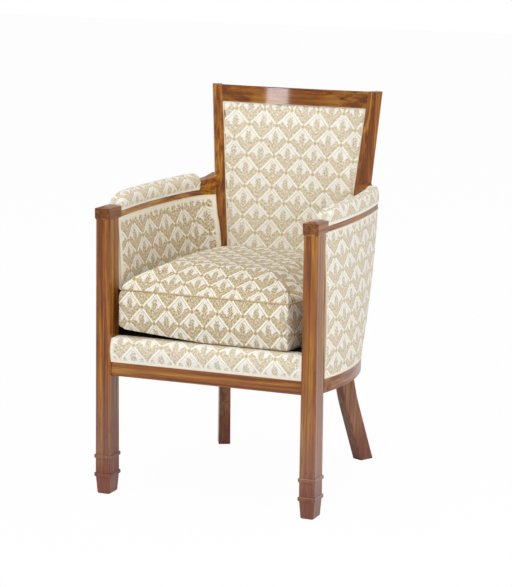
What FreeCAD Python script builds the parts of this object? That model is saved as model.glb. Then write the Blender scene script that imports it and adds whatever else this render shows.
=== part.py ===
import FreeCAD, Part
import math
import os
from FreeCAD import Vector

# Bergere chair: a show-wood frame with a tub-shaped seat, curved arms and a raked hollow back,
# upholstered inside and out, with padded arm tops and one loose seat cushion.
# Millimetres, +Z up, front towards -Y. While it is built, the front posts' faces are at y = 0
# and the floor is at z = 0. The finished chair is moved so that its box stands on the origin.

# Whole chair
HEIGHT = 897.0
POST_SPREAD = 498.0
SEAT_LEVEL = 367.0

# Front posts and their caps
POST_HEIGHT = 633.0
POST_DEPTH = 50.0
POST_WIDTH_TOP = 33.0
POST_WIDTH_LOW = 37.0
POST_ARRIS = 2.0
SABOT_WIDTH = 31.0
SABOT_DEPTH = 44.0
SABOT_EDGE = 2.0
COLLAR_HEIGHTS = (45.0, 88.0)
COLLAR_TALL = 9.0
COLLAR_STAND = 2.5
CAP_TALL = 30.0
CAP_LIP = 2.0
CAP_BACK_LIP = 10.0
CAP_COVE = 4.0
CAP_HIP_TALL = 4.0
CAP_HIP_RUN = 13.0

# Rear posts: leg and back stile in one timber, turned about the vertical
BACK_CANT = 27.0
STILE_TOP_X = 206.0
STILE_TOP_Y = 519.0
STILE_WIDTH = 22.0
STILE_DEPTH = 28.0
REAR_FOOT_X = 188.0
REAR_FOOT_Y = 531.0
REAR_FOOT_DEPTH = 40.0
LEG_WIDTH = 29.0
KNEE_HEIGHT = 242.0
KNEE_FORWARD = 92.0
KNEE_DEPTH = 42.0
KNEE_RADIUS = 440.0
REAR_ARRIS = 1.5

# Back: a hollow cylinder leaning backwards
BACK_FOOT_FORWARD = 13.0
BACK_HOLLOW = 26.0
CREST_TALL = 40.0
CREST_THICK = 22.0
CREST_EDGE = 2.0
LOW_RAIL_TALL = 34.0
LOW_RAIL_RISE = 28.0
LOW_RAIL_FRONT = 13.0
LOW_RAIL_THICK = 14.0

# Seat rails: a show-wood strip below and a narrower tacking part above
RAIL_BOTTOM = 278.0
SHOW_TALL = 32.0
RAIL_TALL = 72.0
RAIL_THICK = 26.0
TACK_SETBACK = 11.0
FRONT_RAIL_SETBACK = 8.0
FRONT_RAIL_THICK = 36.0
REAR_RAIL_HOLLOW = 20.0
REAR_RAIL_THICK = 25.0

# Arms
ARM_WIDTH = 28.0
ARM_TALL = 12.0
RISER_LONG = 50.0
RISER_LOW = 36.0
RISER_HIGH = 51.0
RISER_SAG = 4.0
STUFFING_RAIL_TALL = 28.0
STUFFING_RAIL_THICK = 7.0
ARM_LEDGE = 1.0

# Plan of the tub: how far the rail, the inside wall and the arm bulge out and come in again,
# at which share of their run, and at which share of the stile's depth they end
RAIL_BULGE = 14.0
RAIL_BULGE_AT = 0.2
RAIL_CORNER_IN = 9.0
RAIL_CORNER_AT = 0.61
RAIL_END_AT = 0.8
WALL_BULGE = 4.0
WALL_BULGE_AT = 0.3
WALL_CORNER_IN = 8.0
WALL_CORNER_AT = 0.69
WALL_END_AT = 0.12
ARM_BULGE = 7.0
ARM_BULGE_AT = 0.32
ARM_CORNER_IN = 12.0
ARM_CORNER_AT = 0.83
ARM_END_AT = 0.5

# Upholstery
SOFT_GAP = 0.3
ARM_PAD_WIDTH = 38.0
ARM_PAD_TALL = 44.0
ARM_PAD_WALL = 14.0
ARM_PAD_TUCK = 3.0
ARM_PAD_TOP = 8.0
ARM_PAD_RUN = 80.0
ARM_PAD_CLEAR = 2.5
WALL_PAD = 12.0
WALL_CROWN = 5.0
BACK_PAD = 10.0
BACK_CROWN = 8.0
BACK_EDGE = 2.0
BACK_FULLEST = 0.8
OUTSIDE_PAD = 6.0
BORDER_FRONT = 3.0
BORDER_ROLL = 8.0
BORDER_SWELL = 1.5
CUSHION_FRONT = 14.0
CUSHION_GAP = 15.0
CUSHION_BACK_GAP = 6.0
CUSHION_ROUND = 18.0
CUSHION_BOXING = 108.0
CUSHION_SEAM = 5.0
CUSHION_CROWN = 50.0
CUSHION_CROWN_RUN = 80.0

# Seat platform and hidden joinery
WEB_WIDTH = 50.0
WEB_THICK = 2.0
WEB_COUNT = 5
BACK_WEB_COUNT = 3
HESSIAN_THICK = 1.5
DUST_THICK = 1.0
BLOCK_TALL = 40.0
BLOCK_LEG = 62.0
BLOCK_RISE = 4.0
TENON_LONG = 13.0
TENON_THICK = 8.0
TENON_SHOULDER = 12.0
TENON_IN_FRONT_RAIL = 0.6
TENON_IN_SIDE_RAIL = 0.7
TENON_IN_STILE = 0.3
FIT = 0.1

# Places that follow from the sizes above
POST_X = POST_SPREAD / 2
POST_Y = POST_DEPTH / 2
ARM_Z = POST_HEIGHT
SHOW_TOP = RAIL_BOTTOM + SHOW_TALL
RAIL_TOP = RAIL_BOTTOM + RAIL_TALL
END_TOP = RAIL_TOP + WEB_THICK
DECK_BOTTOM = END_TOP + WEB_THICK
FRONT_RAIL_BACK = FRONT_RAIL_SETBACK + FRONT_RAIL_THICK
LOW_RAIL_Z = SEAT_LEVEL + LOW_RAIL_RISE
CUSHION_BOTTOM = SEAT_LEVEL + SOFT_GAP
REACH = 1000.0
BURIED = 8.0
CUSHION_ROWS = 8
PAD_ROWS = 6
BACK_ROWS = 6
WALL_ROWS = 12


# Small helpers

def flat(x, y):
    return Vector(x, y, 0)


def lift(point, z):
    return Vector(point.x, point.y, z)


def unit(vector):
    return vector * (1 / vector.Length)


def between(a, b, share):
    return a + (b - a) * share


def polygon(points):
    return Part.makePolygon(list(points) + [points[0]])


def prism(points, direction):
    return Part.Face(polygon(points)).extrude(direction)


def ruled(wires):
    return Part.makeLoft(wires, True, True)


def faceted(rings):
    """A solid of flat faces through rings of points whose sides stay parallel."""
    faces = [Part.Face(polygon(rings[0])), Part.Face(polygon(rings[-1]))]
    for low, high in zip(rings, rings[1:]):
        faces += [Part.Face(polygon([low[i - 1], low[i], high[i], high[i - 1]])) for i in range(len(low))]
    solid = Part.makeSolid(Part.makeShell(faces))
    return solid if solid.Volume > 0 else solid.reversed()


def line(a, b):
    return Part.LineSegment(a, b).toShape()


def arc(a, b, c):
    return Part.Arc(a, b, c).toShape()


def fused(shapes):
    return shapes[0].multiFuse(shapes[1:]).removeSplitter()


def trimmed(shape, *neighbours):
    """What is left of a piece once its neighbours' room is taken out: its largest solid."""
    left = shape.cut(list(neighbours))
    return max(left.Solids, key=lambda solid: solid.Volume)


def above(shape, z):
    """The part of a shape that lies above a level."""
    floor = Part.makeBox(2 * REACH, 2 * REACH, REACH, Vector(-REACH, -REACH, z - REACH))
    return trimmed(shape, floor)


def behind_posts(shape):
    """The part of a shape that lies behind the front posts."""
    front = Part.makeBox(2 * REACH, REACH, 2 * REACH, Vector(-REACH, POST_DEPTH - REACH, -REACH))
    return trimmed(shape, front)


def quarter(steps):
    """Sine and cosine through a quarter turn, for a rounded edge."""
    turns = [math.pi / 2 * step / steps for step in range(steps + 1)]
    return [(math.sin(turn), math.cos(turn)) for turn in turns]


def mirrored(shape):
    return shape.mirror(Vector(0, 0, 0), Vector(1, 0, 0))


# Front posts

def clipped_ring(width, depth, clip, centre):
    """The points of a rectangle with clipped corners, lying flat around a centre."""
    w = width / 2
    d = depth / 2
    corners = [(w, d - clip), (w - clip, d), (clip - w, d), (-w, d - clip),
               (-w, clip - d), (clip - w, -d), (w - clip, -d), (w, clip - d)]
    return [centre + flat(x, y) for x, y in corners]


def post_width(z):
    share = (z - COLLAR_HEIGHTS[0]) / (POST_HEIGHT - COLLAR_HEIGHTS[0])
    return POST_WIDTH_LOW + (POST_WIDTH_TOP - POST_WIDTH_LOW) * share


def post_ring(z, grow=0.0):
    width = post_width(z) + 2 * grow
    return clipped_ring(width, POST_DEPTH + 2 * grow, POST_ARRIS, Vector(POST_X, POST_Y, z))


def sabot_ring(z, inset):
    centre = Vector(POST_X, POST_Y, z)
    return clipped_ring(SABOT_WIDTH - 2 * inset, SABOT_DEPTH - 2 * inset, POST_ARRIS, centre)


def front_post():
    """Shaft that narrows upwards, with a drawn-in sabot foot, two collars and a stub for the cap."""
    shaft = [sabot_ring(0, SABOT_EDGE), sabot_ring(SABOT_EDGE, 0),
             post_ring(COLLAR_HEIGHTS[0]), post_ring(POST_HEIGHT)]
    pieces = [faceted(shaft), post_stub()]
    edge = COLLAR_TALL / 2
    flat_part = edge - COLLAR_STAND / 2
    rows = [(-edge, COLLAR_STAND / 2), (-flat_part, COLLAR_STAND),
            (flat_part, COLLAR_STAND), (edge, COLLAR_STAND / 2)]
    for height in COLLAR_HEIGHTS:
        pieces.append(faceted([post_ring(height + rise, stand) for rise, stand in rows]))
    return fused(pieces)


def post_stub(grow=0.0):
    """Square tenon on the post's top, half as wide and deep as the post."""
    width = POST_WIDTH_TOP / 2 + 2 * grow
    depth = POST_DEPTH / 2 + 2 * grow
    corner = Vector(POST_X - width / 2, POST_Y - depth / 2, POST_HEIGHT - BURIED)
    return Part.makeBox(width, depth, BURIED + TENON_LONG + grow, corner)


def cap_ring(z, inset, back_inset):
    """A cap section: inset on its front and sides, and by its own amount at the back."""
    front = -CAP_LIP + inset
    back = POST_DEPTH + CAP_BACK_LIP - back_inset
    width = POST_WIDTH_TOP + 2 * CAP_LIP - 2 * inset
    return clipped_ring(width, back - front, POST_ARRIS / 2, Vector(POST_X, (front + back) / 2, z))


def post_cap():
    """Block on the post that ends the arm, coved below and hipped on top."""
    top = POST_HEIGHT + CAP_TALL
    block = faceted([cap_ring(POST_HEIGHT, CAP_LIP, 0), cap_ring(POST_HEIGHT + CAP_COVE, 0, 0),
                     cap_ring(top - CAP_HIP_TALL, 0, 0), cap_ring(top, CAP_HIP_RUN, CAP_HIP_RUN)])
    return trimmed(block, post_stub(FIT))


# Rear posts, worked out in a frame turned by the cant: x across the timber, y along its sweep

CANT = math.radians(BACK_CANT)


def canted(across, along, z=0.0):
    """The place in the chair of a point given in the rear post's own frame."""
    return Vector(across * math.cos(CANT) + along * math.sin(CANT),
                  along * math.cos(CANT) - across * math.sin(CANT), z)


def across_of(x, y):
    return x * math.cos(CANT) - y * math.sin(CANT)


def along_of(x, y):
    return x * math.sin(CANT) + y * math.cos(CANT)


TOP_ALONG = along_of(STILE_TOP_X, STILE_TOP_Y)
FOOT_ALONG = along_of(REAR_FOOT_X, REAR_FOOT_Y)
KNEE_ALONG = FOOT_ALONG - KNEE_FORWARD
TOP_ACROSS = across_of(STILE_TOP_X, STILE_TOP_Y)
FOOT_ACROSS = across_of(REAR_FOOT_X, REAR_FOOT_Y)


def stile_front(z):
    return KNEE_ALONG + (TOP_ALONG - KNEE_ALONG) * (z - KNEE_HEIGHT) / (HEIGHT - KNEE_HEIGHT)


def stile_deep(z):
    return KNEE_DEPTH + (STILE_DEPTH - KNEE_DEPTH) * (z - KNEE_HEIGHT) / (HEIGHT - KNEE_HEIGHT)


def stile_outer(z):
    return FOOT_ACROSS + (TOP_ACROSS - FOOT_ACROSS) * z / HEIGHT


def stile_inner(z):
    return stile_outer(z) - LEG_WIDTH - (STILE_WIDTH - LEG_WIDTH) * z / HEIGHT


def on_stile(z, depth_share, across):
    """A plan point at a share of the stile's depth, at a place across its thickness."""
    return lift(canted(across, stile_front(z) + stile_deep(z) * depth_share), 0)


def swept_edges(foot, knee, top):
    """Foot, knee and top joined by two straight lines with a wide arc at the knee."""
    down = unit(foot - knee)
    up = unit(top - knee)
    half_angle = down.getAngle(up) / 2
    run = KNEE_RADIUS / math.tan(half_angle)
    centre = knee + unit(down + up) * (KNEE_RADIUS / math.sin(half_angle))
    start = knee + down * run
    end = knee + up * run
    middle = centre + unit(knee - centre) * KNEE_RADIUS
    return [line(foot, start), arc(start, middle, end), line(end, top)]


def rear_post():
    """Sabre leg that runs on upwards as the raked back stile."""
    front = [Vector(0, FOOT_ALONG, 0), Vector(0, KNEE_ALONG, KNEE_HEIGHT), Vector(0, TOP_ALONG, HEIGHT)]
    deep = [REAR_FOOT_DEPTH, KNEE_DEPTH, STILE_DEPTH]
    back = [point + Vector(0, depth, 0) for point, depth in zip(front, deep)]
    edges = swept_edges(*front) + [line(front[2], back[2])] + swept_edges(*back)
    edges.append(line(back[0], front[0]))
    side_view = Part.Face(Part.Wire(Part.sortEdges(edges)[0]))
    board = side_view.extrude(Vector(2 * REACH, 0, 0))
    board.translate(Vector(-REACH, 0, 0))
    front_view = [Vector(stile_outer(0), 0, 0), Vector(stile_outer(HEIGHT), 0, HEIGHT),
                  Vector(stile_inner(HEIGHT), 0, HEIGHT), Vector(stile_inner(0), 0, 0)]
    post = board.common(prism(front_view, Vector(0, REACH, 0))).Solids[0]
    long_edges = [edge for edge in post.Edges if edge.BoundBox.ZLength > edge.Length / 2]
    post = post.makeChamfer(REAR_ARRIS, long_edges)
    post.rotate(Vector(0, 0, 0), Vector(0, 0, 1), -BACK_CANT)
    return post.Solids[0]


# Tub lines: the plan of a wall or an arm, a long arc down the side and a tighter one to the stile

def circle_centre(a, b, c):
    return Part.Circle(a, b, c).Center


def tub_line(front, bulge, corner, rear):
    """Two arcs that share a tangent at the corner, with their centres."""
    side_centre = circle_centre(front, bulge, corner)
    inward = unit(side_centre - corner)
    step = rear - corner
    radius = step.dot(step) / (2 * inward.dot(step))
    return front, corner, rear, side_centre, corner + inward * radius


def turned(point, centre, distance):
    """A point moved along its circle, to the left seen from above for a positive distance."""
    arm = point - centre
    angle = distance / arm.Length
    cosine = math.cos(angle)
    sine = math.sin(angle)
    return centre + flat(arm.x * cosine - arm.y * sine, arm.x * sine + arm.y * cosine)


def edge_points(tub, offset, skip_front, skip_rear):
    """Five plan points of a tub line set off sideways and shortened at its ends."""
    front, corner, rear, side_centre, corner_centre = tub
    front = turned(front, side_centre, skip_front)
    rear = turned(rear, corner_centre, -skip_rear)
    side_middle = side_centre + unit(front + corner - side_centre * 2) * (corner - side_centre).Length
    rear_middle = corner_centre + unit(corner + rear - corner_centre * 2) * (corner - corner_centre).Length
    places = [(front, side_centre), (side_middle, side_centre), (corner, side_centre),
              (rear_middle, corner_centre), (rear, corner_centre)]
    return [point + unit(point - centre) * offset for point, centre in places]


def band(tub, inner, outer, skip_front=-BURIED, skip_rear=0.0):
    """The ten plan points of a strip along a tub line, which starts inside the post unless told."""
    return (edge_points(tub, outer, skip_front, skip_rear)
            + edge_points(tub, inner, skip_front, skip_rear))


def mixed(low_band, high_band, share):
    return [between(a, b, share) for a, b in zip(low_band, high_band)]


def band_wire(points, z):
    o = [lift(point, z) for point in points]
    return Part.Wire([arc(o[0], o[1], o[2]), arc(o[2], o[3], o[4]), line(o[4], o[9]),
                      arc(o[9], o[8], o[7]), arc(o[7], o[6], o[5]), line(o[5], o[0])])


def band_solid(points, low, high):
    return Part.Face(band_wire(points, low)).extrude(Vector(0, 0, high - low))


def side_plan(front_x, bulge_out, corner_in, rear, bulge_share, corner_share):
    """A tub line from the back of the front post to a point in the stile."""
    start = flat(front_x, POST_DEPTH)
    run = rear.y - POST_DEPTH
    bulge = flat(front_x + bulge_out, POST_DEPTH + run * bulge_share)
    corner = flat(front_x - corner_in, POST_DEPTH + run * corner_share)
    return tub_line(start, bulge, corner, rear)


def outer_seat_line():
    """Outer face of the side seat rail."""
    rear = on_stile(SHOW_TOP, RAIL_END_AT, stile_outer(SHOW_TOP) - BURIED)
    front_x = POST_X + POST_WIDTH_LOW / 2
    return side_plan(front_x, RAIL_BULGE, RAIL_CORNER_IN, rear, RAIL_BULGE_AT, RAIL_CORNER_AT)


def inner_seat_line():
    """Inner face of the upholstered arm, at the seat."""
    rear = on_stile(SEAT_LEVEL, WALL_END_AT, stile_outer(SEAT_LEVEL) - BURIED)
    front_x = POST_X - POST_WIDTH_LOW / 2 - CAP_LIP
    return side_plan(front_x, WALL_BULGE, WALL_CORNER_IN, rear, WALL_BULGE_AT, WALL_CORNER_AT)


def arm_line():
    """Centre line of the arm rail."""
    rear = on_stile(ARM_Z, ARM_END_AT, stile_outer(ARM_Z) - BURIED)
    return side_plan(POST_X - CAP_LIP, ARM_BULGE, ARM_CORNER_IN, rear, ARM_BULGE_AT, ARM_CORNER_AT)


# Frame members between the posts

def side_rail(stile):
    """Curved rail: show-wood strip below, tacking part set back above it."""
    tub = outer_seat_line()
    show = band_solid(band(tub, -RAIL_THICK, 0), RAIL_BOTTOM, SHOW_TOP)
    tacking = band_solid(band(tub, -RAIL_THICK, -TACK_SETBACK), SHOW_TOP, RAIL_TOP)
    return trimmed(behind_posts(fused([show, tacking])), stile)


def front_rail(posts):
    """Straight rail with the same step, in the YZ plane, run between the posts."""
    tack = FRONT_RAIL_SETBACK + TACK_SETBACK
    section = [(FRONT_RAIL_SETBACK, RAIL_BOTTOM), (FRONT_RAIL_BACK, RAIL_BOTTOM),
               (FRONT_RAIL_BACK, END_TOP), (tack, END_TOP),
               (tack, SHOW_TOP), (FRONT_RAIL_SETBACK, SHOW_TOP)]
    bar = prism([Vector(-POST_X, y, z) for y, z in section], Vector(POST_SPREAD, 0, 0))
    return trimmed(bar, *posts)


def rear_rail_end():
    """Outer end of the rear rail, a little inside the rear post."""
    return canted(stile_inner(SHOW_TOP) + BURIED, stile_front(SHOW_TOP) + stile_deep(SHOW_TOP))


def bowed_bar(end_x, end_y, thick, low, high):
    """A bar bowed backwards between its two ends."""
    middle = Vector(0, end_y + REAR_RAIL_HOLLOW, low)
    outer = [Vector(-end_x, end_y, low), middle, Vector(end_x, end_y, low)]
    inner = [point - Vector(0, thick, 0) for point in outer]
    wire = Part.Wire([arc(*outer), line(outer[2], inner[2]),
                      arc(*reversed(inner)), line(inner[0], outer[0])])
    return Part.Face(wire).extrude(Vector(0, 0, high - low))


def rear_rail(stiles):
    end = rear_rail_end()
    show = bowed_bar(end.x, end.y, REAR_RAIL_THICK, RAIL_BOTTOM, SHOW_TOP)
    tacking = bowed_bar(end.x, end.y - TACK_SETBACK, REAR_RAIL_THICK - TACK_SETBACK, SHOW_TOP, END_TOP)
    return trimmed(fused([show, tacking]), *stiles)


def arm_rail(cap, stile):
    """Curved arm: a low strip that carries the pad, and a riser that sweeps up to the stile."""
    tub = arm_line()
    bar = band_solid(band(tub, -ARM_WIDTH / 2, ARM_WIDTH / 2), ARM_Z, ARM_Z + RISER_HIGH)
    rear, corner_centre = tub[2], tub[4]
    start = turned(rear, corner_centre, -RISER_LONG - BURIED)
    outward = unit(start - corner_centre)
    along = flat(-outward.y, outward.x)

    def place(run, rise):
        return lift(start + along * run + outward * REACH, ARM_Z + rise)

    step = place(0, RISER_LOW)
    tip = place(RISER_LONG, RISER_HIGH)
    sweep = place(RISER_LONG / 2, (RISER_LOW + RISER_HIGH) / 2 - RISER_SAG)
    seat = [place(-REACH, ARM_TALL), place(0, ARM_TALL)]
    roof = [place(RISER_LONG, REACH), place(-REACH, REACH)]
    outline = Part.Wire([line(seat[0], seat[1]), line(seat[1], step), arc(step, sweep, tip),
                         line(tip, roof[0]), line(roof[0], roof[1]), line(roof[1], seat[0])])
    room_for_pad = Part.Face(outline).extrude(outward * (-2 * REACH))
    return trimmed(bar, room_for_pad, cap, stile)


def stuffing_rail(stile, inside, outside):
    """Inner rail along the foot of the arm, against the back of its stuffing."""
    bar = band(inner_seat_line(), WALL_PAD, WALL_PAD + STUFFING_RAIL_THICK)
    solid = band_solid(bar, SEAT_LEVEL, SEAT_LEVEL + STUFFING_RAIL_TALL)
    return trimmed(behind_posts(solid), stile, inside, outside)


# Back frame, worked out upright and then leaned backwards

CREST_CORNER = canted(stile_inner(HEIGHT), stile_front(HEIGHT))
SEAT_CORNER = canted(stile_inner(SEAT_LEVEL), stile_front(SEAT_LEVEL))
BACK_RADIUS = (CREST_CORNER.x ** 2 + BACK_HOLLOW ** 2) / (2 * BACK_HOLLOW)
LEAN = math.atan2(CREST_CORNER.y - SEAT_CORNER.y + BACK_FOOT_FORWARD, HEIGHT - SEAT_LEVEL)


def leaned(shape):
    shape.rotate(Vector(0, 0, 0), Vector(1, 0, 0), -math.degrees(LEAN))
    shape.translate(Vector(0, CREST_CORNER.y, HEIGHT))
    return shape


def drop_of(z):
    """Distance down the leaning back from its top to a level of the chair."""
    return (HEIGHT - z) / math.cos(LEAN)


def on_back(x, behind, drop):
    """A point of the leaning back: sideways, behind its hollow face, and down from its top."""
    radius = BACK_RADIUS + behind
    return Vector(x, BACK_HOLLOW - BACK_RADIUS + math.sqrt(radius * radius - x * x), -drop)


def back_wire(half, near_edge, near_middle, far_edge, far_middle, drop):
    """Section of a back piece: a front and a rear arc, each with its own crown."""
    near = [on_back(-half, near_edge, drop), on_back(0, near_middle, drop),
            on_back(half, near_edge, drop)]
    far = [on_back(half, far_edge, drop), on_back(0, far_middle, drop),
           on_back(-half, far_edge, drop)]
    return Part.Wire([arc(*near), line(near[2], far[0]), arc(*far), line(far[2], near[0])])


def back_bar(half, near, far, top_drop, bottom_drop):
    face = Part.Face(back_wire(half, near, near, far, far, bottom_drop))
    return face.extrude(Vector(0, 0, bottom_drop - top_drop))


def half_inside(z):
    """Half the clear width between the stiles, at their front inner arrises."""
    return canted(stile_inner(z), stile_front(z)).x


def back_face_y(z):
    """Middle of the inside back's crowned face, at a level."""
    return CREST_CORNER.y + (BACK_HOLLOW - BACK_CROWN) * math.cos(LEAN) - drop_of(z) * math.sin(LEAN)


def crest_rail(stiles):
    """Top rail, hollow in front, with eased top edges."""
    bar = back_bar(CREST_CORNER.x + BURIED, 0, CREST_THICK, 0, CREST_TALL)
    long_edges = [edge for edge in bar.Edges if edge.Length > CREST_TALL]
    top_edges = [edge for edge in long_edges if edge.BoundBox.ZMin > -CREST_EDGE]
    return trimmed(leaned(bar.makeChamfer(CREST_EDGE, top_edges)), *stiles)


def low_back_rail(stiles):
    """Hidden rail behind the foot of the back pad."""
    half = half_inside(LOW_RAIL_Z) + 2 * BURIED
    top = drop_of(LOW_RAIL_Z + LOW_RAIL_TALL)
    bar = back_bar(half, LOW_RAIL_FRONT, LOW_RAIL_FRONT + LOW_RAIL_THICK, top, drop_of(LOW_RAIL_Z))
    return trimmed(leaned(bar), *stiles)


def back_webbing():
    """Upright straps from the crest rail down over the low back rail."""
    long_drop = drop_of(LOW_RAIL_Z)
    spacing = 2 * half_inside(SEAT_LEVEL) / (BACK_WEB_COUNT + 1)
    straps = []
    for index in range(BACK_WEB_COUNT):
        x = (index - (BACK_WEB_COUNT - 1) / 2) * spacing
        corner = Vector(-WEB_WIDTH / 2, 0, 0)
        strap = Part.makeBox(WEB_WIDTH, WEB_THICK, long_drop - CREST_TALL, corner)
        strap.rotate(Vector(0, 0, 0), Vector(0, 0, 1), -math.degrees(math.asin(x / BACK_RADIUS)))
        strap.translate(on_back(x, BACK_PAD + SOFT_GAP, long_drop))
        straps.append(leaned(strap))
    return Part.makeCompound(straps)


# Upholstery

def wall(seat_line, seat_band, arm_band, low, high, crown_in, crown_out, stile):
    """Padded wall from the seat to the arm, with a crown on its inner or outer face.
    Each band gives two offsets, from the seat line and from the arm's centre line."""
    wires = []
    for row in range(WALL_ROWS + 1):
        share = row / WALL_ROWS
        crown = 4 * share * (1 - share)
        foot = band(seat_line, seat_band[0] - crown_in * crown, seat_band[1] + crown_out * crown)
        head = band(arm_line(), arm_band[0] - crown_in * crown, arm_band[1] + crown_out * crown)
        wires.append(band_wire(mixed(foot, head, share), low + (high - low) * share))
    return trimmed(behind_posts(ruled(wires)), stile)


def inside_arm(stile):
    """Inner wall, from the seat platform up to the arm."""
    edge = ARM_LEDGE - ARM_WIDTH / 2
    arm_band = (edge, edge + WALL_PAD - ARM_LEDGE)
    low = DECK_BOTTOM + SOFT_GAP
    high = ARM_Z - SOFT_GAP
    return wall(inner_seat_line(), (0, WALL_PAD), arm_band, low, high, WALL_CROWN, 0, stile)


def outside_arm(stile):
    """Outer wall, from the show-wood strip up to the arm."""
    edge = ARM_WIDTH / 2
    arm_band = (edge - OUTSIDE_PAD, edge)
    low = SHOW_TOP + SOFT_GAP
    high = ARM_Z - SOFT_GAP
    return wall(outer_seat_line(), (-OUTSIDE_PAD, 0), arm_band, low, high, 0, WALL_CROWN, stile)


def arm_pad():
    """Padded arm top: tucked in below, rounded over above and drawn in at both ends."""
    tub = arm_line()
    low = ARM_Z + ARM_TALL + SOFT_GAP
    front = CAP_BACK_LIP + ARM_PAD_CLEAR
    rear = RISER_LONG + BURIED + SOFT_GAP
    half = ARM_PAD_WIDTH / 2
    rows = [(0, ARM_PAD_TUCK, 0), (2 * ARM_PAD_TUCK, 0, 0)]
    rows += [(ARM_PAD_WALL + (ARM_PAD_TALL - ARM_PAD_WALL) * sine, (half - ARM_PAD_TOP) * (1 - cosine),
              ARM_PAD_RUN * (1 - cosine)) for sine, cosine in quarter(PAD_ROWS)]
    return ruled([band_wire(band(tub, drawn - half, half - drawn, front + run, rear + drawn), low + rise)
                  for rise, drawn, run in rows])


def border_wire(x, swell):
    """Section of the front border, bulged by a swell and rolled over the rail's top."""
    low = SHOW_TOP + SOFT_GAP
    rail_front = FRONT_RAIL_SETBACK + TACK_SETBACK - SOFT_GAP
    under = DECK_BOTTOM + SOFT_GAP
    shoulder_z = SEAT_LEVEL - BORDER_ROLL
    foot = Vector(x, FRONT_RAIL_SETBACK, low)
    bulge = Vector(x, BORDER_FRONT - swell, (low + shoulder_z) / 2)
    shoulder = Vector(x, FRONT_RAIL_SETBACK - swell, shoulder_z)
    crest = Vector(x, rail_front + BORDER_ROLL / 2, SEAT_LEVEL)
    roll = between(shoulder, crest, 0.5) + Vector(0, -BORDER_ROLL / 4, BORDER_ROLL / 4)
    back = [Vector(x, FRONT_RAIL_BACK, SEAT_LEVEL), Vector(x, FRONT_RAIL_BACK, under)]
    hook = [Vector(x, rail_front, under), Vector(x, rail_front, low)]
    return Part.Wire([arc(foot, bulge, shoulder), arc(shoulder, roll, crest),
                      line(crest, back[0]), line(back[0], back[1]), line(back[1], hook[0]),
                      line(hook[0], hook[1]), line(hook[1], foot)])


def front_border():
    """Padded border over the front rail, fuller in its middle."""
    half = POST_X - post_width(SHOW_TOP) / 2 - SOFT_GAP
    full = half - BORDER_ROLL
    sections = ((-half, 0), (-full, BORDER_SWELL), (full, BORDER_SWELL), (half, 0))
    return ruled([border_wire(x, swell) for x, swell in sections]).Solids[0]


def inside_back(stiles):
    """Hollow back pad with a soft crown, from the crest rail down to the seat."""
    top = CREST_TALL + SOFT_GAP
    bottom = drop_of(SEAT_LEVEL) + BURIED
    wires = []
    for row in range(BACK_ROWS + 1):
        share = row / BACK_ROWS
        crown = math.sin(math.pi * share * BACK_FULLEST)
        drop = top + (bottom - top) * share
        half = half_inside(HEIGHT - drop) - 2 * SOFT_GAP
        edge = BACK_EDGE * (1 - crown)
        wires.append(back_wire(half, edge, edge - BACK_CROWN * crown, BACK_PAD, BACK_PAD, drop))
    return trimmed(above(leaned(ruled(wires)), SEAT_LEVEL + SOFT_GAP), *stiles)


def outside_back(stiles, rear):
    """Outer back panel from the crest rail down to the rear rail's show-wood strip."""
    top = CREST_TALL + SOFT_GAP
    bottom = drop_of(SHOW_TOP) + BURIED
    foot_y = rear_rail_end().y + REAR_RAIL_HOLLOW - CREST_CORNER.y
    foot = foot_y * math.cos(LEAN) + (HEIGHT - SHOW_TOP) * math.sin(LEAN) - BACK_HOLLOW
    wires = []
    for row in range(WALL_ROWS + 1):
        share = row / WALL_ROWS
        crown = math.sin(math.pi * share)
        drop = top + (bottom - top) * share
        face = between(Vector(CREST_THICK - BACK_EDGE, 0, 0), Vector(foot, 0, 0), share).x
        half = half_inside(HEIGHT - drop) + 3 * BURIED
        inner = face - OUTSIDE_PAD
        wires.append(back_wire(half, inner, inner, face, face + BACK_EDGE * crown, drop))
    panel = above(leaned(ruled(wires)), SHOW_TOP + SOFT_GAP)
    return trimmed(panel, rear, *stiles)


def seat_outline(z, gap, front_y, rear_gap, drawn=0.0):
    """Plan of what lies between the inside arms: straight front, tub sides and a bowed back."""
    plan = edge_points(inner_seat_line(), -gap - drawn, 0, BURIED + rear_gap)
    right = [lift(point, z) for point in plan]
    left = [Vector(-point.x, point.y, z) for point in right]
    front = [Vector(-right[0].x, front_y + drawn, z), Vector(right[0].x, front_y + drawn, z)]
    middle = Vector(0, back_face_y(SEAT_LEVEL) - rear_gap - drawn, z)
    return Part.Wire([line(front[0], front[1]), line(front[1], right[0]),
                      arc(right[0], right[1], right[2]), arc(right[2], right[3], right[4]),
                      arc(right[4], middle, left[4]), arc(left[4], left[3], left[2]),
                      arc(left[2], left[1], left[0]), line(left[0], front[0])])


def seat_cushion():
    """Loose cushion: rounded under, straight boxing drawn in to a seam, and a full crown."""
    seam = CUSHION_BOTTOM + CUSHION_BOXING
    rows = [(CUSHION_BOTTOM + CUSHION_ROUND * (1 - cosine), CUSHION_ROUND * (1 - sine))
            for sine, cosine in quarter(CUSHION_ROWS // 2)]
    rows.append((seam - CUSHION_ROUND, 0))
    rows += [(seam + CUSHION_CROWN * sine, CUSHION_SEAM + CUSHION_CROWN_RUN * (1 - cosine))
             for sine, cosine in quarter(CUSHION_ROWS)]
    return ruled([seat_outline(z, CUSHION_GAP, CUSHION_FRONT, CUSHION_BACK_GAP, drawn)
                  for z, drawn in rows])


# Seat platform

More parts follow.
